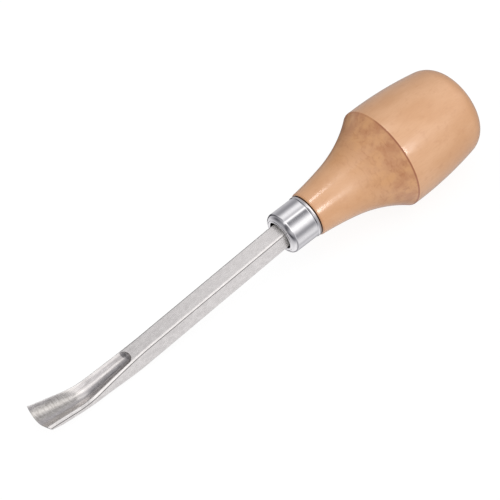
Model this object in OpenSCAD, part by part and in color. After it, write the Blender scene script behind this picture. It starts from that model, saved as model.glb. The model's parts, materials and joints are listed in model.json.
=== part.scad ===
// Carving gouge with a turned palm handle, in millimetres.
// It lies as it rests on a bench. z = 0 is the bench, the flute opens up, and the handle's widest
// ring touches the bench at the origin. +x runs towards the cutting edge, and y = 0 is the plane
// of symmetry. Each piece is drawn on the handle's own axis first, with x = 0 at the handle's
// front face, and at_rest() then lays it on the bench.

/* [Handle] */
// Length of the neck, from the front face to the widest ring
neck_len = 30; // [27:0.5:33]
// Length of the bulb, from the widest ring to the crown of the butt
bulb_len = 31.9; // [29:0.1:36]
// Diameter of the front face
neck_d = 14.6; // [14.4:0.1:16]
// Length of the straight taper behind the front face
taper_len = 10; // [6:0.5:13]
// Radius gained for each millimetre of the straight taper
taper_rate = 0.145; // [0.1:0.005:0.18]
// Diameter at the widest ring
shoulder_d = 34.1; // [32:0.1:37]
// Radius that softens the edge of the widest ring
shoulder_round = 0.7; // [0.4:0.1:1.5]
// Diameter at which the bulb's side, carried on, would meet the plane of the butt's crown
butt_d = 27.4; // [26:0.1:29]
// How far the bulb's side bulges out from a straight line
belly = 1.0; // [0.7:0.1:1.4]
// Radius of the rounded edge between the bulb's side and the butt
butt_round = 7.3; // [6:0.1:8]
// Radius of the dome across the butt
butt_dome = 60; // [50:1:90]
// Length of the tenon
tenon_len = 6.9; // [6:0.1:7]
// Diameter of the bore for the tang
bore_d = 6.4; // [6.2:0.1:6.8]
// Depth of the bore behind the front face
bore_depth = 38; // [38:0.5:44]

/* [Ferrule] */
// Outer diameter of the barrel
ferrule_d = 13.6; // [13.4:0.1:14]
// Distance from the handle's front face to the front of the rolled lip
ferrule_len = 11; // [10.6:0.1:12]
// Thickness of the sheet
ferrule_wall = 0.75; // [0.6:0.05:0.8]
// Outer radius of the rounded nose
nose_round = 1.7; // [1.4:0.1:1.8]
// Diameter of the mouth that the shank passes through
mouth_d = 9; // [8.9:0.1:9.2]
// Radius of the rolled lip round the mouth
lip_round = 0.45; // [0.4:0.05:0.5]
// Width of the bead round the back edge
bead_w = 0.9; // [0.6:0.1:1.2]
// Height of the bead above the barrel
bead_h = 0.12; // [0.08:0.01:0.2]

/* [Shank and tang] */
// Side of the square bar
bar = 6; // [5.8:0.1:6.2]
// Leg of the flat broken along each edge of the bar
bar_chamfer = 0.47; // [0.4:0.01:0.6]
// Angle in degrees that the shank is set down from the handle's axis
shank_set = 3.8; // [2:0.1:5]
// Side of the tang where it leaves the shank
tang_root = 3.8; // [3.4:0.1:3.9]
// Side of the tang at its end
tang_tip = 2.4; // [2:0.1:3]
// Length of the tang behind the handle's front face
tang_len = 36; // [30:0.5:37]

/* [Gouge] */
// Distance along the blade from the handle's front face to the cutting edge
reach = 102.1; // [96:0.1:108]
// Distance along the blade to the start of the flute
flute_at = 68.5; // [67:0.5:72]
// Length of the flute's rounded start
flute_end_round = 2; // [1.8:0.1:2.5]
// Distance along the blade to the start of the flare
flare_at = 63.7; // [60:0.1:64.5]
// Width across the cutting edge
edge_w = 12.2; // [10:0.1:13]
// How late the flare gains its width: 1 is an even flare
flare_power = 1.37; // [1.1:0.01:1.8]
// Distance along the blade to the start of the bend
bend_at = 82.6; // [80:0.1:85]
// Radius of the bend, along the middle of the bar
bend_radius = 27; // [24:1:40]
// Angle in degrees that the bend turns the blade up
bend_angle = 18.2; // [14:0.1:20]
// Height of the rims above the middle of the bar, near the cutting edge
rim_rise = 2.85; // [2.6:0.05:3]
// Width of the rim on each side of the flute, near the cutting edge, most of it taken by its facet
rim_w = 0.84; // [0.8:0.01:1]
// Leg of the 45 degree facet along the outside of each rim, near the cutting edge
rim_chamfer = 0.78; // [0.3:0.01:0.78]
// Thickness of the gouge, near the cutting edge
wall = 1.97; // [1.7:0.01:2.3]
// Depth of the flute where it starts
flute_start_depth = 1.5; // [1.2:0.1:1.6]
// Depth of the flute at the cutting edge
flute_depth = 2.2; // [1.9:0.05:2.4]
// Thickness left at the back of the cutting bevel
bevel_h = 1.35; // [1.2:0.05:1.6]
// Length of the cutting bevel
bevel_len = 1.33; // [1:0.01:1.8]

/* [Hidden] */
$fn = 96;

slip = 0.03;              // gap left between pieces that touch
seam_gap = 0.2;           // gap between the ferrule's back edge and the handle
front_round = 0.4;        // radius round the handle's front face
tenon_chamfer = 0.4;
drill_point = 118;        // full angle of the point that drilled the bore
lip_proud = 0.15;         // how far the rolled lip stands ahead of the nose
nose_stop = 20;           // angle at which the nose's rounding ends in the crease round the lip
lip_start = 50;           // angle at which the lip's rounding comes out of that crease
root_draw = 0.1;          // how far each side of the bar is drawn in inside the ferrule
ferrule_clear = 0.3;      // distance ahead of the ferrule at which the bar has its full size
edge_chamfer = 0.12;      // chamfer along the underside's edges, near the cutting edge
rim_margin = 0.08;        // flat between the facet and the flute where the flute starts
thinning_len = 6;         // length over which the wall thins towards the bevel
shaping_share = 0.7;      // share of the flare over which the square bar becomes a gouge
crank_half = 0.6;         // half the length of the crank between tang and shank
crank_lead = 1.1;         // distance of the crank ahead of the tenon
least_open = 0.1;         // share of its width that the flute keeps at its first section
flute_points = 11;        // points across the flute, and across the underside
start_sections = 6;       // sections along the flute's rounded start
flute_lead = 2;           // length of the last plain section ahead of the flute
gouge_sections = 20;      // sections from the flute's start to the bevel
bevel_lead = 0.4;         // distance of the last of them ahead of the bevel

// ---- helpers -------------------------------------------------------------------------------

function mix(a, b, t) = a + (b - a) * t;
function clamp01(t) = max(0, min(1, t));
function smooth(t) = let (u = clamp01(t)) u * u * (3 - 2 * u);

// Points on an arc about c from angle a0 to a1. With first = 1 the point at a0 is left out,
// because the arc before it ends there.
function arc(c, r, a0, a1, n, first = 0) =
    [for (i = [first:n]) let (a = mix(a0, a1, i / n)) c + r * [cos(a), sin(a)]];

// The point, on the side away from the axis, that is r1 from c1 and r2 from c2
function meet(c1, r1, c2, r2) =
    let (
        gap = norm(c2 - c1),
        along = (c2 - c1) / gap,
        x = (r1 * r1 - r2 * r2 + gap * gap) / (2 * gap),
        h = sqrt(r1 * r1 - x * x),
        across = [-along.y, along.x],
        a = c1 + x * along + h * across,
        b = c1 + x * along - h * across
    ) a.y > b.y ? a : b;

function angle_of(v) = atan2(v.y, v.x);

// Turns a profile of [x, radius] points about the x axis
module turned(profile) {
    rotate([0, 90, 0]) rotate_extrude() polygon([for (p = profile) [p.y, p.x]]);
}

// ---- handle outline, as [x, radius] --------------------------------------------------------

taper_angle = atan(taper_rate);
taper_end = [-taper_len, neck_d / 2 + taper_rate * taper_len];
shoulder = [-neck_len, shoulder_d / 2];
crown_x = -neck_len - bulb_len;

// The cove of the neck is an arc that leaves the taper smoothly and reaches the shoulder
to_shoulder = shoulder - taper_end;
cove_along = -to_shoulder.x * cos(taper_angle) + to_shoulder.y * sin(taper_angle);
cove_out = to_shoulder.x * sin(taper_angle) + to_shoulder.y * cos(taper_angle);
cove_r = (cove_along * cove_along + cove_out * cove_out) / (2 * cove_out);
cove_c = taper_end + cove_r * [sin(taper_angle), cos(taper_angle)];

// The bulb's side is an arc through the shoulder that bulges by belly
side_end = [crown_x, butt_d / 2];
side_chord = norm(side_end - shoulder);
side_r = (side_chord * side_chord / 4 + belly * belly) / (2 * belly);
side_out = [side_end.y - shoulder.y, shoulder.x - side_end.x] / side_chord;
side_c = (shoulder + side_end) / 2 - (side_r - belly) * side_out;

dome_c = [crown_x + butt_dome, 0];
butt_c = meet(side_c, side_r - butt_round, dome_c, butt_dome - butt_round);
ring_c = meet(cove_c, cove_r + shoulder_round, side_c, side_r - shoulder_round);

a_cove_start = angle_of(taper_end - cove_c);
a_cove_end = angle_of(ring_c - cove_c);
a_ring_end = angle_of(ring_c - side_c);
a_side_end = angle_of(butt_c - side_c);
a_butt_end = angle_of(butt_c - dome_c);

handle_skin = concat(
    arc([-front_round, neck_d / 2 - front_round], front_round, 0, 90 + taper_angle, 4),
    arc(cove_c, cove_r, a_cove_start, a_cove_end, 14),
    arc(ring_c, shoulder_round, a_cove_end + 180, a_ring_end, 5, 1),
    arc(side_c, side_r, a_ring_end, a_side_end, 10, 1),
    arc(butt_c, butt_round, a_side_end, a_butt_end, 9, 1),
    arc(dome_c, butt_dome, a_butt_end, 180, 5, 1)
);

// ---- blade ---------------------------------------------------------------------------------

crank_at = tenon_len + crank_lead;
bend_len = bend_radius * bend_angle * PI / 180;
bend_end = bend_at + bend_len;

function along(p, pitch, d) = p + d * [cos(pitch), sin(pitch)];

bend_start_p = along([crank_at, 0], -shank_set, bend_at - crank_at);
bend_end_p = bend_start_p + bend_radius * [
    sin(bend_angle - shank_set) + sin(shank_set),
    cos(shank_set) - cos(bend_angle - shank_set)
];

// Pitch of the blade, in degrees, at distance s ahead of the handle's front face
function pitch(s) =
    s < crank_at ? 0 :
    s < bend_at ? -shank_set :
    s < bend_end ? bend_angle * (s - bend_at) / bend_len - shank_set :
    bend_angle - shank_set;

// Middle of the bar there, as [x, z]
function spine(s) =
    s < crank_at ? [s, 0] :
    s < bend_at ? along([crank_at, 0], -shank_set, s - crank_at) :
    s < bend_end ? bend_start_p + bend_radius * [
        sin(pitch(s)) + sin(shank_set),
        cos(shank_set) - cos(pitch(s))
    ] :
    along(bend_end_p, pitch(s), s - bend_end);

// Share of the way from square bar to finished gouge
function shaping(s) = smooth((s - flare_at) / (shaping_share * (reach - flare_at)));
function flare(s) = pow(clamp01((s - flare_at) / (reach - flare_at)), flare_power);

function half_w(s, side) = side / 2 + (edge_w - bar) / 2 * flare(s);
function top_z(s, side) = mix(side / 2, rim_rise, shaping(s));
function side_h(s, side) =
    mix(side, wall, shaping(s)) - (wall - bevel_h) * smooth((s - reach + thinning_len) / thinning_len);
function under_sag(s) = flute_depth * shaping(s);
function facet(s) = mix(bar_chamfer, rim_chamfer, shaping(s));
function chamfer(s) = mix(bar_chamfer, edge_chamfer, shaping(s));
function rim(s) = mix(bar_chamfer + rim_margin, rim_w, shaping(s));
function under_z(s, side) = top_z(s, side) - side_h(s, side) - under_sag(s);

// The flute starts as a ball end: its width and depth grow as a quarter circle
function flute_open(s) =
    let (t = clamp01((s - flute_at) / flute_end_round)) sqrt(1 - (1 - t) * (1 - t));
function flute_half_w(s, side) =
    (half_w(s, side) - rim(s)) * (s < flute_at ? 1 : max(least_open, flute_open(s)));
function flute_z(s) =
    flute_open(s) * mix(flute_start_depth, flute_depth, (s - flute_at) / (reach - flute_at));

// One section as [y, z] points: down one side, across the underside, up the other, over the top
function section(s, side) =
    let (
        w = half_w(s, side),
        t = facet(s),
        c = chamfer(s),
        top = top_z(s, side),
        low = top - side_h(s, side),
        f = flute_half_w(s, side),
        u = [for (i = [0:flute_points - 1]) 1 - 2 * i / (flute_points - 1)]
    ) concat(
        [[w - t, top], [w, top - t], [w, low + c]],
        [for (b = u) [b * (w - c), low - under_sag(s) * (1 - b * b)]],
        [[-w, low + c], [-w, top - t], [t - w, top]],
        [for (b = u) [-b * f, top - flute_z(s) * (1 - b * b)]]
    );

// That section in space. The bevel sets a point back by its depth below the rim.
function placed_section(s, side, bevel = 0) =
    [for (p = section(s, side))
        let (
            back = bevel * clamp01((top_z(s, side) - p.y) / side_h(s, side)),
            m = spine(s - back),
            a = pitch(s - back)
        ) [m.x - p.y * sin(a), p.x, m.y + p.y * cos(a)]];

// Flute points are never set back: the flute runs out to the cutting edge
function edge_section() =
    let (plain = placed_section(reach, bar), cut = placed_section(reach, bar, bevel_len))
    [for (i = [0:len(plain) - 1]) i < len(plain) - flute_points ? cut[i] : plain[i]];

gouge_from = flute_at + flute_end_round;
gouge_to = reach - bevel_len - bevel_lead;
bar_root = bar - 2 * root_draw;
// Sections along the blade, as [distance, side of the bar]
blade_stations = concat(
    [[-tang_len, tang_tip], [tenon_len + slip, tang_root], [tenon_len + slip, bar_root]],
    [for (s = [crank_at - crank_half, crank_at + crank_half]) [s, bar_root]],
    [for (s = [ferrule_len + ferrule_clear, flare_at, flute_at - flute_lead]) [s, bar]],
    [for (i = [0:start_sections])
        [flute_at + flute_end_round * (1 - cos(90 * i / start_sections)), bar]],
    [for (i = [1:gouge_sections]) [mix(gouge_from, gouge_to, i / gouge_sections), bar]]
);

ring_n = 2 * flute_points + 6;
blade_points = concat([for (st = blade_stations) each placed_section(st[0], st[1])], edge_section());
ring_count = len(blade_stations) + 1;

// Quads between neighbouring sections, each as two triangles
skin_faces = [for (k = [0:ring_count - 2]) for (i = [0:ring_n - 1])
    let (
        j = (i + 1) % ring_n,
        a = k * ring_n + i,
        b = k * ring_n + j,
        c = a + ring_n,
        d = b + ring_n
    ) each [[a, b, d], [a, d, c]]];

// The end of the blade at point start0: a strip from the underside to the flute, and a fan at each rim
function end_faces(start0) =
    let (under0 = start0 + 3, flute0 = start0 + ring_n - flute_points)
    concat(
        [for (i = [0:flute_points - 2])
            let (
                a = under0 + i,
                b = under0 + i + 1,
                c = flute0 + flute_points - 1 - i,
                d = flute0 + flute_points - 2 - i
            ) each [[a, b, d], [a, d, c]]],
        [for (i = [0:2]) [start0 + i, start0 + i + 1, flute0 + flute_points - 1]],
        [for (i = [0:2]) [flute0 - 4 + i, flute0 - 3 + i, flute0]]
    );
edge_faces = end_faces((ring_count - 1) * ring_n);
tang_faces = [for (f = end_faces(0)) [f[2], f[1], f[0]]];

// ---- rest on the bench ---------------------------------------------------------------------

// The bench touches the softened shoulder ring below and, ahead, the lowest part of the underside
rest_c = [ring_c.x, -ring_c.y];
rest_tilt = min([for (st = blade_stations)
    if (st[0] > flare_at)
        let (
            m = spine(st[0]),
            a = pitch(st[0]),
            z = under_z(st[0], st[1]),
            p = m + z * [-sin(a), cos(a)] - rest_c
        ) angle_of(p) + asin(shoulder_round / norm(p))]);

module at_rest() {
    translate([0, 0, shoulder_round])
        rotate([0, rest_tilt, 0])
            translate([-rest_c.x, 0, -rest_c.y]) children();
}

// ---- pieces --------------------------------------------------------------------------------

module blade() {
    color("#cbc8c5") at_rest()
        polyhedron(blade_points, concat(skin_faces, edge_faces, tang_faces), convexity = 6);
}

inner_r = ferrule_d / 2 - ferrule_wall;

module ferrule() {
    r = ferrule_d / 2;
    lip_c = [ferrule_len - lip_round, mouth_d / 2 + lip_round];
    nose_x = ferrule_len - lip_proud;
    nose_c = [nose_x - nose_round, r - nose_round];
    inner_x = nose_x - ferrule_wall;
    inner_round = nose_round - ferrule_wall;
    bead_end = seam_gap + bead_w;
    color("#d8d8dc") at_rest() turned(concat(
        [
            [seam_gap, inner_r],
            [seam_gap, r],
            [seam_gap + bead_h, r + bead_h],
            [bead_end - bead_h, r + bead_h],
            [bead_end, r]
        ],
        arc(nose_c, nose_round, 90, nose_stop, 7),
        arc(lip_c, lip_round, lip_start, -90, 7),
        [[inner_x, mouth_d / 2]],
        arc([inner_x - inner_round, inner_r - inner_round], inner_round, 0, 90, 5)
    ));
}

module handle() {
    bore_r = bore_d / 2;
    tenon_r = inner_r - slip;
    color("#e2b08a") at_rest() turned(concat(
        [
            [-bore_depth - bore_r / tan(drill_point / 2), 0],
            [-bore_depth, bore_r],
            [tenon_len, bore_r],
            [tenon_len, tenon_r - tenon_chamfer],
            [tenon_len - tenon_chamfer, tenon_r],
            [0, tenon_r]
        ],
        handle_skin
    ));
}

// Fills the bore round the tang. The void keeps the tang's taper and runs out of the front.
module tang_adhesive() {
    length = bore_depth + tenon_len - 2 * slip;
    growth = (tang_root - tang_tip) / (tang_len + tenon_len + slip);
    void_side = tang_tip + 2 * slip;
    void_len = tang_len + tenon_len + 1;
    color("#c9b27c") at_rest() rotate([0, 90, 0]) difference() {
        translate([0, 0, -bore_depth + slip]) cylinder(r = bore_d / 2 - slip, h = length);
        translate([0, 0, -tang_len - slip])
            linear_extrude(height = void_len, scale = 1 + growth * void_len / void_side)
                square(void_side, center = true);
    }
}

blade();
ferrule();
handle();
tang_adhesive();
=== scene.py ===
"""The carving gouge's looks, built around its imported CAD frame.

Shapes are drawn in the tool's own frame, in millimetres: x runs along the handle's axis from the
handle's front face (x = 0) towards the cutting edge, y is across and z is up, on the flute's side.
Each mesh object carries the matrix of that frame, so object coordinates in the materials are the
tool's own, in metres.
"""

import json
import math

import bpy
import numpy as np
from mathutils import Matrix, Vector

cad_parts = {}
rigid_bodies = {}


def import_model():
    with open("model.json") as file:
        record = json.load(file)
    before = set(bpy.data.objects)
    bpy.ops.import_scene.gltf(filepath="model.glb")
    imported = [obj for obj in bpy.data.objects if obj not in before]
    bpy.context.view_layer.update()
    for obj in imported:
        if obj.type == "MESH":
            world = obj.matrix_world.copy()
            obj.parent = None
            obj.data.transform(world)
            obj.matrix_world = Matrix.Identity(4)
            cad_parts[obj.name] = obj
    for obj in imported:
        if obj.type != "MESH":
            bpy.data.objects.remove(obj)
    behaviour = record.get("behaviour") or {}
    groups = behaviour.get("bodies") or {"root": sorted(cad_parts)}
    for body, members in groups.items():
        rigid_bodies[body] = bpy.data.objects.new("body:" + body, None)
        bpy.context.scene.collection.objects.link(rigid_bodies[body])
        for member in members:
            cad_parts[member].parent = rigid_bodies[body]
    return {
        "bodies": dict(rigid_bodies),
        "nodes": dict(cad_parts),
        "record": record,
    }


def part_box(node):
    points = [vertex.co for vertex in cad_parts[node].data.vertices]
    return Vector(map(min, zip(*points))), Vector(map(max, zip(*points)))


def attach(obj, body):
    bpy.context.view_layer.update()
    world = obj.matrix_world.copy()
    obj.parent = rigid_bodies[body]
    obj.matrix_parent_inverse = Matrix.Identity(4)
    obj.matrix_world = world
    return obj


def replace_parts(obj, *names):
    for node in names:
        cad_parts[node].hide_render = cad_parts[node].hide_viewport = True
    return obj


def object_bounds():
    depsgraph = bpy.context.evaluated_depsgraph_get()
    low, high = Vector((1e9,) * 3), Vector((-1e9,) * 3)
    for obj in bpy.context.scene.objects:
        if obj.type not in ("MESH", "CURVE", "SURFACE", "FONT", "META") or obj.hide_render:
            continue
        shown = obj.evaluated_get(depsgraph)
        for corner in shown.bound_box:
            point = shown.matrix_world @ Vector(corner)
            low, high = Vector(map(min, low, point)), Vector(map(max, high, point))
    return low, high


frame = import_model()
cad_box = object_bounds()
BODY = next(iter(frame["bodies"]))
MOUNTS = {m["name"]: m for m in frame["record"]["mounts"]}
MM = 0.001
DEG = math.pi / 180

# ---- the tool frame --------------------------------------------------------------------------

# The crest of the ferrule's bead. The length of the barrel's mount counts from here
BARREL_FROM = 1.1


def tool_matrix():
    """The matrix from the tool's frame to the row frame, from the barrel's mount."""
    mount = MOUNTS["ferrule_barrel"]
    x = Vector(mount["axis"]).normalized()
    y = Vector((0, 1, 0))
    z = x.cross(y)
    middle = BARREL_FROM + mount["dims"]["length_mm"] / 2
    m = Matrix((x, y, z)).transposed().to_4x4()
    m.translation = Vector(mount["pos_m"]) - x * middle * MM
    return m


TOOL = tool_matrix()


def mix(a, b, t):
    return a + (b - a) * t


def smooth(t):
    u = np.clip(t, 0, 1)
    return u * u * (3 - 2 * u)


# ---- mesh helpers ----------------------------------------------------------------------------

# Edges turned by more than this are shaded sharp
SHARP_ANGLE = 28 * DEG
# A radius or length in millimetres that counts as none
NOTHING = 1e-6


def piece(name, points, faces, material):
    """A closed mesh in the tool's frame, from points in millimetres, riding on the body."""
    mesh = bpy.data.meshes.new(name)
    mesh.from_pydata((np.asarray(points) * MM).tolist(), [], faces)
    mesh.validate()
    mesh.shade_smooth()
    mesh.set_sharp_from_angle(angle=SHARP_ANGLE)
    mesh.materials.append(material)
    obj = bpy.data.objects.new(name, mesh)
    bpy.context.scene.collection.objects.link(obj)
    obj.matrix_world = TOOL
    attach(obj, BODY)
    return obj


def arc(c, r, a0, a1, n, first=0):
    """Points on an arc about c, angles in degrees. first=1 leaves out the point at a0."""
    return [
        (c[0] + r * math.cos(a * DEG), c[1] + r * math.sin(a * DEG))
        for a in (mix(a0, a1, i / n) for i in range(first, n + 1))
    ]


def turned(profile, segments):
    """Points and faces of a closed [x, radius] profile turned about the x axis.
    A profile point on the axis becomes one point."""
    points, rings = [], []
    for x, r in profile:
        if r < NOTHING:
            rings.append([len(points)] * segments)
            points.append((x, 0.0, 0.0))
            continue
        rings.append(list(range(len(points), len(points) + segments)))
        for k in range(segments):
            a = 2 * math.pi * k / segments
            points.append((x, r * math.cos(a), r * math.sin(a)))
    faces = []
    count = len(profile)
    for i in range(count):
        a, b = rings[i], rings[(i + 1) % count]
        for k in range(segments):
            j = (k + 1) % segments
            loop = [a[k], b[k], b[j], a[j]]
            loop = [v for n, v in enumerate(loop) if v != loop[n - 1]]
            if len(set(loop)) >= 3:
                faces.append(loop)
    return points, faces


# ---- node helpers ----------------------------------------------------------------------------


class Graph:
    """Builds a node tree with one short call for each node. Calls return output sockets."""

    def __init__(self, tree):
        self.tree = tree
        tree.nodes.clear()

    def node(self, kind, inputs=(), **settings):
        n = self.tree.nodes.new(kind)
        for key, value in settings.items():
            setattr(n, key, value)
        for key, value in dict(inputs).items():
            self.put(n.inputs[key], value)
        return n

    def put(self, socket, value):
        if isinstance(value, bpy.types.NodeSocket):
            self.tree.links.new(value, socket)
        else:
            socket.default_value = value

    def math(self, op, a, b=0.0, c=0.0):
        return self.node("ShaderNodeMath", {0: a, 1: b, 2: c}, operation=op).outputs[0]

    def add(self, a, b):
        return self.math("ADD", a, b)

    def mul(self, a, b):
        return self.math("MULTIPLY", a, b)

    def dot(self, a, b):
        n = self.node("ShaderNodeVectorMath", {0: a, 1: b}, operation="DOT_PRODUCT")
        return n.outputs["Value"]

    def off_x(self, vector):
        """Distance from the x axis."""
        flat = self.stretch(vector, (0.0, 1.0, 1.0))
        return self.node("ShaderNodeVectorMath", {0: flat}, operation="LENGTH").outputs["Value"]

    def stretch(self, vector, by):
        n = self.node("ShaderNodeVectorMath", {0: vector, 1: by}, operation="MULTIPLY")
        return n.outputs["Vector"]

    def shift(self, vector, by):
        n = self.node("ShaderNodeVectorMath", {0: vector, 1: by}, operation="ADD")
        return n.outputs["Vector"]

    def ramp(self, value, a, b, low=0.0, high=1.0):
        """low where value is a, high where it is b, and a smooth step between."""
        n = self.node(
            "ShaderNodeMapRange",
            {"Value": value, "From Min": a, "From Max": b, "To Min": low, "To Max": high},
            interpolation_type="SMOOTHSTEP",
        )
        return n.outputs["Result"]

    def noise(self, vector, scale, detail=2.0, roughness=0.5, distortion=0.0):
        """Noise between 0 and 1. The scale is in waves a metre, before the vector's stretch."""
        n = self.node(
            "ShaderNodeTexNoise",
            {
                "Vector": vector,
                "Scale": scale,
                "Detail": detail,
                "Roughness": roughness,
                "Distortion": distortion,
            },
        )
        return n.outputs["Fac"]

    def blend(self, fac, a, b):
        """Colour a where fac is 0, and b where it is 1."""
        n = self.node("ShaderNodeMix", data_type="RGBA")
        for key, value in {0: fac, 6: a, 7: b}.items():
            self.put(n.inputs[key], value)
        return n.outputs[2]

    def mix(self, fac, a, b):
        """Number a where fac is 0, and b where it is 1."""
        return self.add(self.mul(self.math("SUBTRACT", 1.0, fac), a), self.mul(fac, b))

    def bump(self, height, distance, strength, normal=None):
        inputs = {"Height": height, "Distance": distance * MM, "Strength": strength}
        if normal is not None:
            inputs["Normal"] = normal
        return self.node("ShaderNodeBump", inputs).outputs["Normal"]

    def surface(self, shader, kind="ShaderNodeOutputMaterial"):
        out = self.node(kind)
        self.tree.links.new(shader, out.inputs["Surface"])


def linear(r, g, b):
    """A display colour of 0 to 255 as scene-linear RGBA."""

    def one(v):
        v /= 255
        return v / 12.92 if v <= 0.04045 else ((v + 0.055) / 1.055) ** 2.4

    return (one(r), one(g), one(b), 1.0)


def new_material(name):
    """A material, its empty graph, and object coordinates, which are the tool's own in metres."""
    material = bpy.data.materials.new(name)
    material.use_nodes = True
    g = Graph(material.node_tree)
    return material, g, g.node("ShaderNodeTexCoord").outputs["Object"]


def principled(g, inputs):
    g.surface(g.node("ShaderNodeBsdfPrincipled", inputs).outputs[0])


# ---- handle ----------------------------------------------------------------------------------

# Millimetres and degrees. The handle's axis is the x axis, and its front face is at x = 0.
# One sweep, NECK_SWEEP long, stands for the CAD model's straight taper and the start of its cove
NECK_LEN = 30.0
BULB_LEN = 31.9
NECK_R = 7.3
TAPER_LEN = 10.0
TAPER_RATE = 0.145
NECK_SWEEP = 12.5
SHOULDER_R = 17.05
SHOULDER_ROUND = 0.35
BUTT_R = 13.7
BELLY = 1.0
BUTT_ROUND = 7.3
BUTT_DOME = 60.0
FRONT_ROUND = 0.4
BORE_R = 3.2
BORE_DEPTH = 38.0
DRILL_POINT = 118.0
TENON_LEN = 6.9
TENON_R = 6.02
TENON_CHAMFER = 0.4
# Points along each part of the outline, and round it
FRONT_STEPS = 8
NECK_STEPS = 24
COVE_STEPS = 60
RING_STEPS = 14
SIDE_STEPS = 48
BUTT_STEPS = 32
DOME_STEPS = 20
HANDLE_SEGMENTS = 256


def meet(c1, r1, c2, r2):
    """The point, on the side away from the axis, that is r1 from c1 and r2 from c2."""
    c1, c2 = Vector(c1), Vector(c2)
    gap = (c2 - c1).length
    along = (c2 - c1) / gap
    x = (r1 * r1 - r2 * r2 + gap * gap) / (2 * gap)
    h = math.sqrt(r1 * r1 - x * x)
    across = Vector((-along.y, along.x))
    return max(c1 + x * along + h * across, c1 + x * along - h * across, key=lambda p: p.y)


def angle_of(v):
    return math.atan2(v[1], v[0]) / DEG


def neck_sweep(cove_c, cove_r):
    """The neck, from the front face to where it meets the cove's height and slope."""
    over = -NECK_SWEEP - cove_c.x
    drop = math.sqrt(cove_r * cove_r - over * over)
    gained, slope = cove_c.y - drop - NECK_R, -over / drop
    start = 2 * gained / NECK_SWEEP - slope
    bend = (slope - start) / (2 * NECK_SWEEP)
    steps = (NECK_SWEEP * i / NECK_STEPS for i in range(1, NECK_STEPS))
    return [(-t, NECK_R + start * t + bend * t * t) for t in steps]


def handle_profile():
    """The handle's outline as [x, radius], from the drilled bore round the skin to the crown."""
    slope = math.atan(TAPER_RATE)
    taper_end = Vector((-TAPER_LEN, NECK_R + TAPER_RATE * TAPER_LEN))
    shoulder = Vector((-NECK_LEN, SHOULDER_R))
    crown_x = -NECK_LEN - BULB_LEN
    to = shoulder - taper_end
    along = -to.x * math.cos(slope) + to.y * math.sin(slope)
    out = to.x * math.sin(slope) + to.y * math.cos(slope)
    cove_r = (along * along + out * out) / (2 * out)
    cove_c = taper_end + cove_r * Vector((math.sin(slope), math.cos(slope)))
    side_end = Vector((crown_x, BUTT_R))
    chord = (side_end - shoulder).length
    side_r = (chord * chord / 4 + BELLY * BELLY) / (2 * BELLY)
    side_out = Vector((side_end.y - shoulder.y, shoulder.x - side_end.x)) / chord
    side_c = (shoulder + side_end) / 2 - (side_r - BELLY) * side_out
    dome_c = Vector((crown_x + BUTT_DOME, 0))
    butt_c = meet(side_c, side_r - BUTT_ROUND, dome_c, BUTT_DOME - BUTT_ROUND)
    ring_c = meet(cove_c, cove_r + SHOULDER_ROUND, side_c, side_r - SHOULDER_ROUND)
    cove_end = angle_of(ring_c - cove_c)
    ring_end = angle_of(ring_c - side_c)
    side_stop = angle_of(butt_c - side_c)
    butt_end = angle_of(butt_c - dome_c)
    sweep_end = -90 - math.asin((NECK_SWEEP + cove_c.x) / cove_r) / DEG
    taper = slope / DEG
    front_c = (-FRONT_ROUND, NECK_R - FRONT_ROUND)
    return (
        [
            (-BORE_DEPTH - BORE_R / math.tan(DRILL_POINT / 2 * DEG), 0.0),
            (-BORE_DEPTH, BORE_R),
            (TENON_LEN, BORE_R),
            (TENON_LEN, TENON_R - TENON_CHAMFER),
            (TENON_LEN - TENON_CHAMFER, TENON_R),
            (0.0, TENON_R),
        ]
        + arc(front_c, FRONT_ROUND, 0, 90 + taper, FRONT_STEPS)
        + neck_sweep(cove_c, cove_r)
        + arc(cove_c, cove_r, sweep_end, cove_end, COVE_STEPS)
        + arc(ring_c, SHOULDER_ROUND, cove_end + 180, ring_end, RING_STEPS, 1)
        + arc(side_c, side_r, ring_end, side_stop, SIDE_STEPS, 1)
        + arc(butt_c, BUTT_ROUND, side_stop, butt_end, BUTT_STEPS, 1)
        + arc(dome_c, BUTT_DOME, butt_end, 180, DOME_STEPS, 1)
    )


def handle(material):
    points, faces = turned(handle_profile(), HANDLE_SEGMENTS)
    return piece("handle_turned", points, faces, material)


# ---- ferrule ---------------------------------------------------------------------------------

# Millimetres and degrees. The ferrule's back edge is at SEAM_GAP, and its lip at FERRULE_LEN
FERRULE_R = 6.8
FERRULE_LEN = 11.0
FERRULE_WALL = 0.75
SEAM_GAP = 0.12
BEAD_H = 0.2
BEAD_END = 1.5
NOSE_ROUND = 1.7
NOSE_X = 10.85
MOUTH_R = 4.5
LIP_ROUND = 0.45
EDGE_ROUND = 0.1
# The nose stops at NOSE_TURN degrees, the lip starts at LIP_TURN, and a crease lies between them
NOSE_TURN = 24
CREASE = (10.62, 5.72)
LIP_TURN = 62
# The barrel's shading is held flat this far from its ends
BARREL_EASE = 0.2
BEAD_STEPS = 12
BARREL_STEPS = 12
NOSE_STEPS = 22
LIP_STEPS = 20
INNER_STEPS = 8
FERRULE_SEGMENTS = 256


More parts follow.
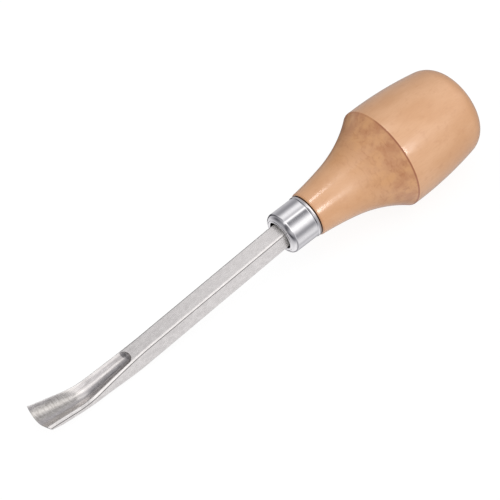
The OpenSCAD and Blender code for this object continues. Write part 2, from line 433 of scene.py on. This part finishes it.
def ferrule_profile():
    """The rolled sheet's section: back edge, bead, barrel, nose, crease, lip, then the inside."""
    r = FERRULE_R
    inner_r = r - FERRULE_WALL
    bead = [
        (mix(SEAM_GAP + EDGE_ROUND, BARREL_FROM, t), r + BEAD_H * math.sin(t * math.pi / 2))
        for t in (i / BEAD_STEPS for i in range(BEAD_STEPS))
    ]
    flank = [
        (mix(BARREL_FROM, BEAD_END, t), r + BEAD_H * (1 - float(smooth(t))))
        for t in (i / BEAD_STEPS for i in range(BEAD_STEPS + 1))
    ]
    nose_c = (NOSE_X - NOSE_ROUND, r - NOSE_ROUND)
    lip_c = (FERRULE_LEN - LIP_ROUND, MOUTH_R + LIP_ROUND)
    inner_x = NOSE_X - FERRULE_WALL
    inner_round = NOSE_ROUND - FERRULE_WALL
    inner_c = (inner_x - inner_round, inner_r - inner_round)
    barrel = (BEAD_END + BARREL_EASE, NOSE_X - NOSE_ROUND - BARREL_EASE)
    return (
        [(SEAM_GAP, inner_r + EDGE_ROUND), (SEAM_GAP, r - EDGE_ROUND)]
        + bead
        + flank
        + [(x, r) for x in np.linspace(*barrel, BARREL_STEPS)]
        + arc(nose_c, NOSE_ROUND, 90, NOSE_TURN, NOSE_STEPS)
        + [CREASE]
        + arc(lip_c, LIP_ROUND, LIP_TURN, -90, LIP_STEPS)
        + [(inner_x, MOUTH_R)]
        + arc(inner_c, inner_round, 0, 90, INNER_STEPS)
        + [(SEAM_GAP + EDGE_ROUND, inner_r)]
    )


def ferrule(material):
    points, faces = turned(ferrule_profile(), FERRULE_SEGMENTS)
    return piece("ferrule_rolled", points, faces, material)


# ---- blade -----------------------------------------------------------------------------------

# Millimetres and degrees. Places along the blade are distances from the handle's front face,
# measured along the bar's middle. The bar is drawn in a little at its root, inside the ferrule
BAR = 6.0
ROOT_DRAW = 0.1
FERRULE_CLEAR = 0.3
BAR_CHAMFER = 0.47
SHANK_SET = 3.8
CRANK_AT = TENON_LEN + 1.1
CRANK_HALF = 0.6
TANG_ROOT = 3.8
TANG_TIP = 2.4
TANG_LEN = 36.0
SLIP = 0.03
REACH = 102.1
FLUTE_AT = 68.5
FLUTE_END_ROUND = 2.0
FLARE_AT = 63.7
EDGE_W = 12.2
FLARE_POWER = 1.37
BEND_AT = 82.6
BEND_RADIUS = 27.0
BEND_ANGLE = 18.2
RIM_RISE = 2.85
RIM_W = 0.84
WALL = 1.97
FLUTE_START_DEPTH = 1.5
FLUTE_DEPTH = 2.2
BEVEL_H = 1.35
BEVEL_LEN = 1.33
RIM_CHAMFER = 0.78
EDGE_CHAMFER = 0.12
RIM_MARGIN = 0.06
THINNING_LEN = 6.0
SHAPING_SHARE = 0.7
# Share of its full width that the flute has at its start. Behind it, the flute's points lie flat
# across the bar and leave room for the rounding of the corners
LEAST_OPEN = 0.03
SHANK_OPEN = 0.88
# Points across the flute, and across the underside
ACROSS = 41
# A corner's rounding starts this far from it, but no farther than this share of its side
CORNER_ROUND = 0.2
CORNER_SHARE = 0.6
BEND_LEN = BEND_RADIUS * BEND_ANGLE * DEG
# Sections in each stretch, and how far the stretches stay from the features between them
SHANK_STATIONS = 30
FLARE_STATIONS = 12
START_STATIONS = 19
GOUGE_STATIONS = 110
AFTER_FERRULE = 2
BEFORE_FLUTE = 0.05
PAST_START = 0.01
BEFORE_BEVEL = 0.2


def ahead(p, pitch, d):
    return np.array(p) + d * np.array([math.cos(pitch * DEG), math.sin(pitch * DEG)])


def pitch(s):
    """Pitch of the blade in degrees, at distance s ahead of the handle's front face."""
    if s < CRANK_AT:
        return 0.0
    if s < BEND_AT:
        return -SHANK_SET
    return BEND_ANGLE * min((s - BEND_AT) / BEND_LEN, 1) - SHANK_SET


def spine(s):
    """Middle of the bar there, as [x, z]."""
    if s < CRANK_AT:
        return np.array([s, 0.0])
    start = ahead([CRANK_AT, 0.0], -SHANK_SET, min(s, BEND_AT) - CRANK_AT)
    if s < BEND_AT:
        return start
    a, b = pitch(s) * DEG, SHANK_SET * DEG
    bent = start + BEND_RADIUS * np.array(
        [math.sin(a) + math.sin(b), math.cos(b) - math.cos(a)]
    )
    return ahead(bent, pitch(s), max(s - BEND_AT - BEND_LEN, 0))


def shaping(s):
    """Share of the way from square bar to finished gouge."""
    return smooth((s - FLARE_AT) / (SHAPING_SHARE * (REACH - FLARE_AT)))


def flute_open(s):
    t = min(max((s - FLUTE_AT) / FLUTE_END_ROUND, 0), 1)
    return math.sqrt(1 - (1 - t) ** 2)


def rounded(before, corner, after):
    """Three points that round a corner slightly."""
    before, corner, after = (np.array(p, float) for p in (before, corner, after))
    out = []
    for other in (before, after):
        d = other - corner
        out.append(corner + d * min(CORNER_ROUND / max(np.hypot(*d), NOTHING), CORNER_SHARE))
    return [out[0], (out[0] + out[1] + 2 * corner) / 4, out[1]]


def section(s, side):
    """One section as [y, z] points, and how high the rim and how tall the side are there."""
    share = float(shaping(s))
    flare = min(max((s - FLARE_AT) / (REACH - FLARE_AT), 0), 1) ** FLARE_POWER
    thinned = float(smooth((s - REACH + THINNING_LEN) / THINNING_LEN))
    w = side / 2 + (EDGE_W - BAR) / 2 * flare
    top = mix(side / 2, RIM_RISE, share)
    tall = mix(side, WALL, share) - (WALL - BEVEL_H) * thinned
    c = mix(BAR_CHAMFER, RIM_CHAMFER, share)
    low_c = mix(BAR_CHAMFER, EDGE_CHAMFER, share)
    rim = mix(BAR_CHAMFER + RIM_MARGIN, RIM_W, share)
    opened = SHANK_OPEN if s < FLUTE_AT else max(LEAST_OPEN, flute_open(s))
    f = (w - rim) * opened
    deep = flute_open(s) * mix(
        FLUTE_START_DEPTH, FLUTE_DEPTH, (s - FLUTE_AT) / (REACH - FLUTE_AT)
    )
    low = top - tall
    u = np.linspace(1, -1, ACROSS)
    under = [(b * (w - low_c), low - FLUTE_DEPTH * share * (1 - b * b)) for b in u]
    flute = [(-b * f, top - deep * (1 - b * b)) for b in u]
    right = [(w - c, top), (w, top - c), (w, low + low_c)]
    left = [(-w, low + low_c), (-w, top - c), (c - w, top)]
    ring = (
        rounded(flute[-1], right[0], right[1])
        + rounded(right[0], right[1], right[2])
        + rounded(right[1], right[2], under[0])
        + under
        + rounded(under[-1], left[0], left[1])
        + rounded(left[0], left[1], left[2])
        + rounded(left[1], left[2], flute[0])
        + flute
    )
    return np.array(ring, float), top, tall


SIDE_POINTS = 9
RING = 2 * ACROSS + 2 * SIDE_POINTS
# The middle points of the rounded corners on both sides of each rim's facet
LIT_ARRIS = 1
ARRIS_POINTS = (4, SIDE_POINTS + ACROSS + 4, SIDE_POINTS + ACROSS + 7)


def placed_section(s, side, bevel=0.0):
    """That section in the tool's frame. The bevel sets a point back by its depth below the rim."""
    ring, top, tall = section(s, side)
    out = []
    for n, (y, z) in enumerate(ring):
        back = 0.0
        if bevel and n < RING - ACROSS:
            back = bevel * min(max((top - z) / tall, 0), 1)
        m, a = spine(s - back), pitch(s - back) * DEG
        out.append((m[0] - z * math.sin(a), y, m[1] + z * math.cos(a)))
    return out


def blade_stations():
    """Sections along the blade, as [distance, side of the bar]."""
    root = BAR - 2 * ROOT_DRAW
    start = [
        (FLUTE_AT + FLUTE_END_ROUND * (1 - math.cos(a * DEG)), BAR)
        for a in np.linspace(0, 90, START_STATIONS)
    ]
    shank = np.linspace(FERRULE_LEN + AFTER_FERRULE, FLARE_AT, SHANK_STATIONS)
    flare = np.linspace(FLARE_AT, FLUTE_AT - BEFORE_FLUTE, FLARE_STATIONS)[1:]
    gouge_ends = (FLUTE_AT + FLUTE_END_ROUND, REACH - BEVEL_LEN - BEFORE_BEVEL)
    gouge = np.linspace(*gouge_ends, GOUGE_STATIONS)[1:]
    return (
        [(-TANG_LEN, TANG_TIP), (TENON_LEN + SLIP, TANG_ROOT), (TENON_LEN + SLIP, root)]
        + [(CRANK_AT - CRANK_HALF, root), (CRANK_AT + CRANK_HALF, root)]
        + [(FERRULE_LEN + FERRULE_CLEAR, BAR)]
        + [(s, BAR) for s in shank]
        + [(s, BAR) for s in flare]
        + start
        + [(s, BAR) for s in gouge]
    )


def blade(material):
    stations = blade_stations()
    points = []
    for s, side in stations:
        points += placed_section(s, side)
    points += placed_section(REACH, BAR, BEVEL_LEN)
    count = len(stations) + 1
    faces = []
    for k in range(count - 1):
        for i in range(RING):
            j = (i + 1) % RING
            a, b = k * RING + i, k * RING + j
            faces.append([a, b, b + RING, a + RING])
    faces += end_faces((count - 1) * RING)
    faces += [f[::-1] for f in end_faces(0)]
    obj = piece("blade_ground", points, faces, material)
    distances = [s for s, side in stations] + [REACH]
    for name, share in (("flute", in_flute), ("arris", on_arris)):
        values = [share(s, i) for s in distances for i in range(RING)]
        attribute = obj.data.attributes.new(name, "FLOAT", "POINT")
        attribute.data.foreach_set("value", np.array(values, np.float32))
    return obj


def in_flute(s, i):
    """1 for a section's points inside the flute, past its start, for the material."""
    return float(s > FLUTE_AT + PAST_START and RING - ACROSS < i < RING - 1)


def on_arris(s, i):
    """1 for the points where a corner is painted with shade. One is left unshaded along the bar,
    where it catches the light.
    """
    return float(shaping(s)) if i == LIT_ARRIS else float(i in ARRIS_POINTS)


def end_faces(first):
    """An end of the blade: a strip from the underside to the flute, and a fan at each rim."""
    under, flute = first + SIDE_POINTS, first + RING - ACROSS
    out = []
    for i in range(ACROSS - 1):
        a, b = under + i, under + i + 1
        c, d = flute + ACROSS - 1 - i, flute + ACROSS - 2 - i
        out.append([a, b, d, c])
    for i in range(SIDE_POINTS):
        out.append([first + i, first + i + 1, flute + ACROSS - 1])
        out.append([flute - 1 - i, flute, flute - 2 - i][::-1])
    return out


# ---- materials -------------------------------------------------------------------------------

# The wood, where it is cut along the grain, then where the cove and the butt cut across it
PALE_WOOD = linear(228, 177, 135)
WARM_WOOD = linear(219, 165, 120)
FIBRE = linear(203, 142, 100)
SPECK = linear(200, 138, 96)
CROSS_GRAIN = linear(212, 158, 112)
PATCH = linear(186, 124, 84)
WAVE = linear(180, 114, 72)
GOLD = linear(222, 166, 112)
DOT = linear(168, 104, 66)
BUTT = linear(212, 156, 108)
# Painted shade, near black, for the gap behind the ferrule
GAP_SHADE_WOOD = linear(34, 20, 14)
# Painted shade for the crease just ahead of the widest ring
RING_CREASE_SHADE = linear(158, 90, 62)


def wood_material():
    """Pale close-grained wood under a glossy lacquer, darker where the cove cuts the grain."""
    material, g, at = new_material("lacquered_beech")
    place = g.node("ShaderNodeSeparateXYZ", {0: at}).outputs
    normal = g.node("ShaderNodeNewGeometry").outputs["Normal"]
    facing = g.dot(normal, tuple(TOOL.col[0].xyz))
    fibres = g.noise(g.stretch(at, (0.08, 1.0, 1.0)), 4200.0, 3.0, 0.6)
    blotches = g.noise(g.stretch(at, (0.45, 1.0, 1.0)), 120.0, 3.0, 0.5)
    clouds = g.noise(g.shift(at, (0.4, 0.2, 0.9)), 210.0, 3.0, 0.55)
    figure = g.noise(g.stretch(at, (2.2, 1.0, 1.0)), 330.0, 3.0, 0.55, 1.2)
    specks = g.noise(g.shift(g.stretch(at, (0.8, 1.0, 1.0)), (3.1, 0.7, 1.9)), 560.0, 2.0, 0.5)

    colour = g.blend(g.ramp(blotches, 0.34, 0.66), PALE_WOOD, WARM_WOOD)
    colour = g.blend(g.ramp(fibres, 0.42, 0.72, 0.0, 0.2), colour, FIBRE)
    colour = g.blend(g.ramp(specks, 0.55, 0.75, 0.0, 0.22), colour, SPECK)
    # the cut-across grain of the cove drinks more lacquer, in patches and wavy lines
    cross = g.ramp(facing, 0.08, 0.5)
    colour = g.blend(g.mul(cross, 0.8), colour, CROSS_GRAIN)
    patches = g.mul(g.ramp(facing, 0.3, 0.58), g.ramp(clouds, 0.4, 0.66, 0.25, 1.0))
    colour = g.blend(g.mul(patches, 0.7), colour, PATCH)
    wavy = g.mul(g.ramp(facing, 0.14, 0.45), g.ramp(figure, 0.48, 0.72))
    colour = g.blend(g.mul(wavy, 0.4), colour, WAVE)
    gold = g.mul(cross, g.ramp(clouds, 0.56, 0.32))
    colour = g.blend(g.mul(gold, 0.4), colour, GOLD)
    dots = g.mul(g.ramp(facing, 0.2, 0.5), g.ramp(specks, 0.58, 0.76))
    colour = g.blend(g.mul(dots, 0.3), colour, DOT)
    butt = g.ramp(facing, -0.15, -0.55)
    colour = g.blend(g.mul(butt, 0.6), colour, BUTT)
    # painted shade: the front face and the tenon, in the gap behind the ferrule, are painted near
    # black
    colour = g.blend(g.ramp(place[0], -0.03 * MM, 0.0), colour, GAP_SHADE_WOOD)
    # painted shade: a dark line in the crease just ahead of the widest ring
    colour = g.blend(ring_crease_shade(g, place), colour, RING_CREASE_SHADE)

    uneven = g.noise(g.stretch(at, (1.6, 1.0, 1.0)), 260.0, 1.0)
    coat = g.bump(uneven, 0.4, 0.045)
    principled(g, {
        "Base Color": colour,
        "Roughness": g.ramp(fibres, 0.3, 0.8, 0.42, 0.55),
        "Normal": g.bump(fibres, 0.03, 0.12, coat),
        "Coat Weight": 0.9,
        "Coat Roughness": g.ramp(clouds, 0.3, 0.7, 0.15, 0.21),
        "Coat Normal": coat,
        "IOR": 1.4,
    })
    return material


def ring_crease_shade(g, place):
    """Where the painted shade in the crease just ahead of the widest ring lies, fainter on the far
    side.
    """
    ring = -NECK_LEN * MM
    line = g.mul(
        g.ramp(place[0], ring - 0.05 * MM, ring + 0.12 * MM),
        g.ramp(place[0], ring + 0.6 * MM, ring + 0.25 * MM),
    )
    return g.mul(line, g.ramp(place[1], -4 * MM, 11 * MM, 0.2, 0.8))


PLATING = ((0.885, 0.88, 0.89, 1), (0.94, 0.935, 0.935, 1))
# Painted shade, near black, for the sheet's inside
INSIDE_SHADE = ((0.006, 0.006, 0.006, 1), (0.016, 0.015, 0.014, 1))
# How deep in the sheet's wall the bright outside ends, as shares of the wall, at barrel and nose
INSIDE_BARREL = 0.8
INSIDE_NOSE = 0.9


def chrome_material():
    """Bright plating outside. The sheet's inside, round the tenon and the shank, is painted near
    black as shade.
    """
    material, g, at = new_material("bright_plating")
    haze = g.noise(at, 900.0, 3.0, 0.6)
    scratch = g.noise(g.stretch(at, (9.0, 0.6, 0.6)), 700.0, 2.0, 0.7)
    along = g.node("ShaderNodeSeparateXYZ", {0: at}).outputs[0]
    inside = g.mul(
        g.math("LESS_THAN", g.off_x(at), (FERRULE_R - INSIDE_BARREL * FERRULE_WALL) * MM),
        g.math("LESS_THAN", along, (NOSE_X - INSIDE_NOSE * FERRULE_WALL) * MM),
    )
    colour = g.blend(g.ramp(haze, 0.3, 0.7), *PLATING)
    # painted shade: the inside is near black, for the dark mouth round the shank
    colour = g.blend(inside, colour, g.blend(haze, *INSIDE_SHADE))
    rough = g.ramp(scratch, 0.35, 0.8, 0.05, 0.12)
    principled(g, {
        "Base Color": colour,
        "Metallic": 1.0,
        "Roughness": g.math("MAXIMUM", rough, g.mul(inside, 0.6)),
        "Normal": g.bump(scratch, 0.004, 0.4),
    })
    return material


STEEL = ((0.80, 0.77, 0.755, 1), (0.99, 0.955, 0.935, 1))
HONED = (0.60, 0.57, 0.545, 1)
CHATTER = ((0.66, 0.625, 0.56, 1), (1.0, 0.97, 0.89, 1))
# Painted shade for the flute's recessed start
FLUTE_START_SHADE = (0.48, 0.46, 0.445, 1)
# Painted shade along some rounded corners
ARRIS_SHADE = (0.16, 0.15, 0.145, 1)


def steel_material():
    """Satin ground steel, mottled on the bar. The flute has scratches along and across it.
    Painted shade darkens the flute's start and some corners.
    """
    material, g, at = new_material("ground_steel")
    place = g.node("ShaderNodeSeparateXYZ", {0: at}).outputs
    flute = g.node("ShaderNodeAttribute", attribute_name="flute").outputs["Fac"]
    arris = g.node("ShaderNodeAttribute", attribute_name="arris").outputs["Fac"]
    mottle = g.noise(g.stretch(at, (0.7, 1.0, 1.0)), 900.0, 5.0, 0.68)
    lines = g.noise(g.stretch(at, (0.04, 1.0, 1.0)), 6000.0, 2.0, 0.6)
    hone = g.noise(g.stretch(at, (0.03, 1.0, 1.0)), 2600.0, 3.0, 0.65)
    chatter = g.noise(g.stretch(at, (1.0, 0.14, 0.14)), 3600.0, 2.0, 0.6)
    near_edge = g.mul(flute, g.ramp(place[0], 84 * MM, 92 * MM))

    colour = g.blend(g.ramp(mottle, 0.3, 0.7), *STEEL)
    colour = g.blend(g.mul(flute, g.ramp(hone, 0.4, 0.7, 0.0, 0.7)), colour, HONED)
    # a band of chatter marks crosses the far half of the flute near the edge
    band = g.mul(
        g.ramp(place[1], 0.6 * MM, -0.8 * MM),
        g.ramp(place[1], -4.8 * MM, -3.4 * MM),
    )
    marks = g.blend(g.ramp(chatter, 0.4, 0.6), *CHATTER)
    colour = g.blend(g.mul(g.mul(near_edge, band), 0.6), colour, marks)
    # painted shade: the flute is painted darker towards its recessed start
    start_shade = g.mul(flute, g.ramp(place[0], 77 * MM, 69 * MM, 0.0, 0.5))
    colour = g.blend(start_shade, colour, FLUTE_START_SHADE)
    # painted shade: dark lines along the corners that on_arris marks
    colour = g.blend(g.ramp(arris, 0.1, 0.5, 0.0, 0.85), colour, ARRIS_SHADE)

    normal = g.bump(g.mix(flute, lines, hone), 0.007, 0.5)
    normal = g.bump(g.mul(chatter, near_edge), 0.01, 0.5, normal)
    principled(g, {
        "Base Color": colour,
        "Metallic": g.mix(flute, 0.55, 0.94),
        "Roughness": g.add(g.ramp(mottle, 0.3, 0.7, 0.2, 0.3), g.mul(flute, -0.07)),
        "Normal": g.bump(mottle, 0.01, 0.25, normal),
    })
    return material


EPOXY = (linear(176, 150, 96), linear(206, 184, 128))


def epoxy_material():
    """Cured epoxy with a slightly cloudy body."""
    material, g, at = new_material("cured_epoxy")
    cloud = g.noise(at, 400.0, 3.0)
    principled(g, {
        "Base Color": g.blend(cloud, *EPOXY),
        "Roughness": g.ramp(cloud, 0.3, 0.7, 0.3, 0.5),
        "Normal": g.bump(cloud, 0.05, 0.3),
    })
    return material


BENCH = ((0.955, 0.955, 0.955, 1), (0.965, 0.965, 0.965, 1))
WHITE = (1, 1, 1, 1)
# The bench glows, so that its shadows stay pale: what it sheds on the part, what the camera sees
BENCH_GLOW = (0.72, 1.06)
BENCH_MATT = 0.16


def floor_material():
    """A pale bench whose glow leaves only a faint shadow."""
    material, g, at = new_material("pale_bench")
    tint = g.blend(g.noise(at, 60.0, 2.0), *BENCH)
    strength = g.mix(g.node("ShaderNodeLightPath").outputs["Is Camera Ray"], *BENCH_GLOW)
    glow = g.node("ShaderNodeEmission", {"Color": WHITE, "Strength": strength}).outputs[0]
    matt = g.node("ShaderNodeBsdfDiffuse", {"Color": tint}).outputs[0]
    g.surface(g.node("ShaderNodeMixShader", {0: BENCH_MATT, 1: glow, 2: matt}).outputs[0])
    return material


# ---- studio ----------------------------------------------------------------------------------

# Where the soft light on matt surfaces comes from, and its level on the far side and on this side
KEY_SIDE = Vector((0.14, 0.76, 0.52)).normalized()
SOFT_LIGHT = (0.12, 1.21)
# Mirrored light has slightly less green than red, and turns from bluish to warm as it brightens
MIRRORED_GREEN = 0.985
MIRRORED_BLUE_POWER = 0.96

# What bright things mirror, by the angle round the tool from straight up towards the camera's
# side, and by the angle along it towards the cutting edge. Degrees. Soft strips of light or shade,
# as [angle, half width, brightness, where along it starts to fade, where it has gone]. A separate
# program fitted SURROUND and every strip but shade_under to the ferrule's brightness in the photo
STRIPS = {
    "key": (55.6, 25.7, 1.874, -67.6, 14.2),
    "top": (4.0, 6.7, 0.881, -4.6, 48.9),
    "slit": (-29.0, 19.0, 0.628, -20.2, -11.1),
    "low": (115.7, 18.9, 0.493, -51.4, 7.4),
    "under": (-155.5, 41.8, -0.807, -53.6, 32.6),
    "shade_high": (29.9, 31.8, -0.774, -18.2, 136.6),
    "shade_far": (-52.5, 59.9, -0.741, 26.5, 78.4),
    "shade_side": (98.7, 32.0, -0.809, 0.3, 130.6),
    "shade_under": (154.0, 13.0, -0.28, 0, 30),
}
# The surround's brightness fades from one end of the studio to the other
SURROUND = (1.008, 0.39, 5, 82)
DARKEST = 0.06
# The zone of the studio that shows in the bar and the straight flute, by the angle round the tool,
# as [angle, half width, brightness]. FORE_LEVEL fades along it. The zone starts and is full at
# FORE_FROM, and has gone and is still full at FORE_TO
FORE = {
    "facet_light": (54.0, 13.0, 0.85),
    "edge_light": (29.0, 11.0, 0.3),
    "flute_light": (9.0, 12.0, 0.8),
    "flute_shade": (-68.0, 32.0, -0.27),
    "far_edge_shade": (-125.0, 26.0, -0.7),
    "side_shade": (139.0, 30.0, -0.08),
}
FORE_LEVEL = (0.66, 0.34, -15, -3)
FORE_FROM = (-19.4, -17)
FORE_TO = (8, 1)
# Light from over the handle, which the top of the bar mirrors towards the ferrule, as in STRIPS
TOP_LIGHT = (-40.0, 13.0, 0.3, -13.9, -7.0)
# Behind, where the upturned end of the gouge looks, in the same way
BACK = {
    "end_light": (7.0, 13.0, 0.4),
    "end_shade": (-24.0, 7.0, -0.1),
    "far_shade": (32.0, 10.0, -0.12),
}
BACK_LEVEL = 0.42
BACK_FROM = (-20.8, -24)
# Farther back, where only the ferrule's bead looks
BEHIND = {"bead_light": (28.0, 42.0, 0.95)}
BEHIND_LEVEL = 0.36
BEHIND_FROM = (-33, -40)


def hill(g, angle, centre, half):
    """A bump in angle: 1 at centre, falling off over half, all in degrees but angle."""
    off = g.math("WRAP", g.add(angle, -centre * DEG), math.pi, -math.pi)
    share = g.math("ABSOLUTE", g.mul(off, 1 / (half * DEG)))
    return g.math("EXPONENT", g.mul(g.math("POWER", share, 2.0), -1.0))


def with_hills(g, angle, level, table):
    """That level with a table's [angle, half width, brightness] hills on it."""
    for centre, half, gain in table.values():
        level = g.add(level, g.mul(hill(g, angle, centre, half), gain))
    return level


def with_strip(g, around, along, level, strip):
    """That level with a strip on it that fades along the studio, as in STRIPS."""
    centre, half, gain, fade, gone = strip
    left = g.ramp(along, fade * DEG, gone * DEG, gain, 0.0)
    return g.add(level, g.mul(hill(g, around, centre, half), left))


def within(g, along, span):
    """How far a direction is inside a zone, from where the zone starts to where it is full."""
    start, full = span
    return g.ramp(along, start * DEG, full * DEG)


def mirrored_studio(g, toward):
    """Brightness of the studio that shows in polished surfaces, in each direction."""
    x, y, z = (g.dot(toward, tuple(TOOL.col[n].xyz)) for n in range(3))
    around = g.math("ARCTAN2", y, z)
    along = g.math("ARCSINE", x)

    before, after, fade, gone = SURROUND
    level = g.ramp(along, fade * DEG, gone * DEG, before, after)
    for strip in STRIPS.values():
        level = with_strip(g, around, along, level, strip)

    before, after, fade, gone = FORE_LEVEL
    fore = g.ramp(along, fade * DEG, gone * DEG, before, after)
    fore = with_hills(g, around, with_strip(g, around, along, fore, TOP_LIGHT), FORE)
    share = g.mul(within(g, along, FORE_FROM), within(g, along, FORE_TO))
    level = g.mix(share, level, fore)
    back = with_hills(g, around, BACK_LEVEL, BACK)
    level = g.mix(within(g, along, BACK_FROM), level, back)
    behind = with_hills(g, around, BEHIND_LEVEL, BEHIND)
    level = g.mix(within(g, along, BEHIND_FROM), level, behind)
    return g.math("MAXIMUM", level, DARKEST)


def studio_world():
    """White for the camera, the mirrored studio for polished surfaces, soft light for the rest."""
    world = bpy.data.worlds.new("studio")
    bpy.context.scene.world = world
    world.use_nodes = True
    g = Graph(world.node_tree)
    toward = g.node("ShaderNodeTexCoord").outputs["Generated"]
    level = mirrored_studio(g, toward)
    green = g.mul(level, MIRRORED_GREEN)
    blue = g.math("POWER", level, MIRRORED_BLUE_POWER)
    mirrored = g.node("ShaderNodeCombineColor", {0: level, 1: green, 2: blue}).outputs[0]
    soft = g.ramp(g.dot(toward, tuple(KEY_SIDE)), -1.0, 1.0, *SOFT_LIGHT)
    lit = g.node("ShaderNodeCombineColor", {0: soft, 1: soft, 2: soft}).outputs[0]
    paths = g.node("ShaderNodeLightPath")
    seen = g.blend(paths.outputs["Is Glossy Ray"], lit, mirrored)
    seen = g.blend(paths.outputs["Is Camera Ray"], seen, WHITE)
    shader = g.node("ShaderNodeBackground", {"Color": seen, "Strength": 1.0})
    g.surface(shader.outputs[0], "ShaderNodeOutputWorld")


# Lamps that shine on the lacquer, as [angle round, angle along, spread round, spread along, watts]
LAMPS = {
    "key_lamp": (57.5, -14, 15, 15, 9.5),
    "top_lamp": (-1.5, -11, 12, 11, 3.4),
}
LAMP_DISTANCE = 1.5


def studio_lamps(lit):
    """Soft lamps for the lacquered handle. The polished metal sees them in the mirrored studio."""
    group = bpy.data.collections.new("lit_by_lamps")
    group.objects.link(lit)
    low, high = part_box("handle")
    middle = (low + high) / 2
    turn = TOOL.to_3x3()
    for name, (around, along, wide, long, watts) in LAMPS.items():
        a, b = around * DEG, along * DEG
        toward = turn @ Vector((math.sin(b), math.cos(b) * math.sin(a), math.cos(b) * math.cos(a)))
        data = bpy.data.lights.new(name, "AREA")
        data.shape = "RECTANGLE"
        data.size = 2 * LAMP_DISTANCE * math.tan(long / 2 * DEG)
        data.size_y = 2 * LAMP_DISTANCE * math.tan(wide / 2 * DEG)
        data.energy = watts
        lamp = bpy.data.objects.new(name, data)
        x = (TOOL.col[0].xyz - toward * toward.dot(TOOL.col[0].xyz)).normalized()
        m = Matrix((x, toward.cross(x), toward)).transposed().to_4x4()
        m.translation = middle + toward * LAMP_DISTANCE
        lamp.matrix_world = m
        lamp.light_linking.receiver_collection = group
        lamp.visible_diffuse = False
        bpy.context.scene.collection.objects.link(lamp)


FLOOR_R = 3.0
FLOOR_SIDES = 64


def studio_floor():
    """A round bench top that polished surfaces don't mirror."""
    mesh = bpy.data.meshes.new("bench")
    turns = np.linspace(0, 2 * math.pi, FLOOR_SIDES + 1)[:-1]
    ring = [(FLOOR_R * math.cos(a), FLOOR_R * math.sin(a), 0) for a in turns]
    mesh.from_pydata(ring, [], [list(range(FLOOR_SIDES))])
    obj = bpy.data.objects.new("bench", mesh)
    obj.data.materials.append(floor_material())
    bpy.context.scene.collection.objects.link(obj)
    obj.visible_glossy = False


# The camera's direction from the part in degrees, its distance and aim in metres, and its lens. A
# separate program solved them from the outlines in the photo
AZIMUTH = 148.748
ELEVATION = 42.921
ROLL = 11.013
DISTANCE = 0.514
AIM_OFFSET = Vector((0.00183, -0.00045, -0.00287))
SENSOR = 36
LENS = 126.24
SHIFT = (-0.0018, 0.0003)
CLIP = (0.01, 20)


def studio_camera():
    """The camera at the photograph's angle, aimed near the middle of the part's box."""
    low, high = cad_box
    aim = (low + high) / 2 + AIM_OFFSET
    a, e, roll = AZIMUTH * DEG, ELEVATION * DEG, ROLL * DEG
    back = Vector((math.sin(a) * math.cos(e), -math.cos(a) * math.cos(e), math.sin(e)))
    level = Vector((0, 0, 1)).cross(back).normalized()
    upright = back.cross(level)
    right = level * math.cos(roll) - upright * math.sin(roll)
    up = upright * math.cos(roll) + level * math.sin(roll)
    data = bpy.data.cameras.new("camera")
    data.sensor_width = SENSOR
    data.lens = LENS
    data.shift_x, data.shift_y = SHIFT
    data.clip_start, data.clip_end = CLIP
    obj = bpy.data.objects.new("camera", data)
    m = Matrix((right, up, back)).transposed().to_4x4()
    m.translation = aim + back * DISTANCE
    obj.matrix_world = m
    bpy.context.scene.collection.objects.link(obj)
    bpy.context.scene.camera = obj


# ---- assembly --------------------------------------------------------------------------------

wooden = handle(wood_material())
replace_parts(wooden, "handle")
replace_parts(ferrule(chrome_material()), "ferrule")
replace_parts(blade(steel_material()), "blade")
adhesive = frame["nodes"]["tang_adhesive"]
adhesive.data.materials.clear()
adhesive.data.materials.append(epoxy_material())

studio_world()
studio_lamps(wooden)
studio_floor()
studio_camera()
bpy.context.scene.view_settings.view_transform = "Standard"
